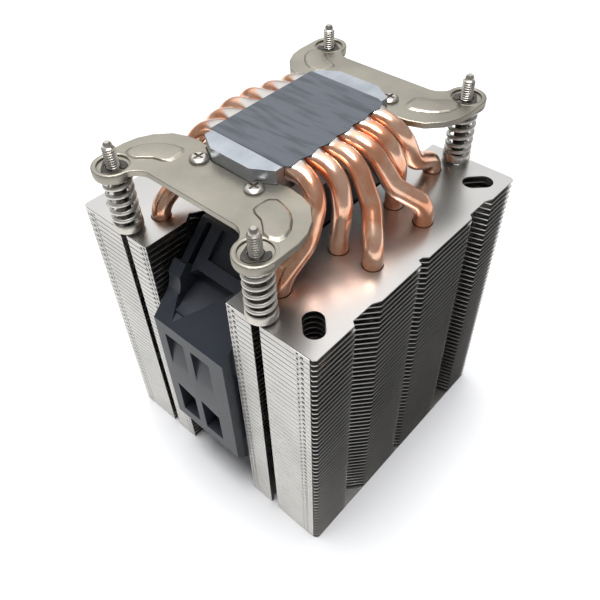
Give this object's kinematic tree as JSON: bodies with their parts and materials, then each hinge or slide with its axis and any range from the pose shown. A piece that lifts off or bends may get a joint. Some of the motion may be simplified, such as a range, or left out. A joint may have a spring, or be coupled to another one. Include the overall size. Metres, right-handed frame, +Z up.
{
  "type": "server processor cooler",
  "caption": "Tall tower processor cooler with a fan between two fin stacks, bent heat pipes and spring screws, standing on its fins.",
  "frame": {"origin": "bottom centre of the bounding box, on the surface that the fins stand on", "axes": "+Z up through the contact face, +X along the fan axis, +Y across the fins"},
  "size_m": [0.0974, 0.108, 0.1341],
  "materials": {
    "machined_aluminium": "milled aluminium",
    "copper": "polished copper",
    "fin_aluminium": "rolled aluminium sheet",
    "nickel_plate": "nickel plated steel",
    "zinc_steel": "zinc plated steel",
    "screw_steel": "plated steel",
    "spring_steel": "bright spring wire",
    "casing_plastic": "dark blue-grey moulded plastic",
    "impeller_plastic": "black moulded plastic"
  },
  "bodies": {
    "cooler": {"base_block": "machined_aluminium", "heat_pipe_1": "copper", "heat_pipe_2": "copper", "heat_pipe_3": "copper", "heat_pipe_4": "copper", "heat_pipe_5": "copper", "heat_pipe_6": "copper", "fin_stack_left": "fin_aluminium", "fin_stack_right": "fin_aluminium", "fin_flanges_left": "fin_aluminium", "fin_flanges_right": "fin_aluminium", "bracket_front": "nickel_plate", "bracket_rear": "nickel_plate", "bracket_screw_1": "zinc_steel", "bracket_screw_2": "zinc_steel", "bracket_screw_3": "zinc_steel", "bracket_screw_4": "zinc_steel", "spring_1": "spring_steel", "spring_2": "spring_steel", "spring_3": "spring_steel", "spring_4": "spring_steel", "fan_casing": "casing_plastic"},
    "fan_rotor": {"fan_impeller": "impeller_plastic", "fan_shaft": "screw_steel"},
    "captive_screw_1": {"spring_screw_1": "screw_steel", "retaining_clip_1": "spring_steel"},
    "captive_screw_2": {"spring_screw_2": "screw_steel", "retaining_clip_2": "spring_steel"},
    "captive_screw_3": {"spring_screw_3": "screw_steel", "retaining_clip_3": "spring_steel"},
    "captive_screw_4": {"spring_screw_4": "screw_steel", "retaining_clip_4": "spring_steel"}
  },
  "joints": [
    {"name": "fan_spin", "type": "hinge", "parent": "cooler", "child": "fan_rotor", "pos_m": [0, 0, 0.0519], "axis": [1, 0, 0], "continuous": true},
    {"name": "screw_1_slide", "type": "slide", "parent": "cooler", "child": "captive_screw_1", "axis": [0, 0, 1], "range_m": [0, 0.005], "stiffness_N_per_m": 1500, "springref_m": -0.004, "deforming": ["spring_1"]},
    {"name": "screw_2_slide", "type": "slide", "parent": "cooler", "child": "captive_screw_2", "axis": [0, 0, 1], "range_m": [0, 0.005], "stiffness_N_per_m": 1500, "springref_m": -0.004, "deforming": ["spring_2"]},
    {"name": "screw_3_slide", "type": "slide", "parent": "cooler", "child": "captive_screw_3", "axis": [0, 0, 1], "range_m": [0, 0.005], "stiffness_N_per_m": 1500, "springref_m": -0.004, "deforming": ["spring_3"]},
    {"name": "screw_4_slide", "type": "slide", "parent": "cooler", "child": "captive_screw_4", "axis": [0, 0, 1], "range_m": [0, 0.005], "stiffness_N_per_m": 1500, "springref_m": -0.004, "deforming": ["spring_4"]}
  ]
}
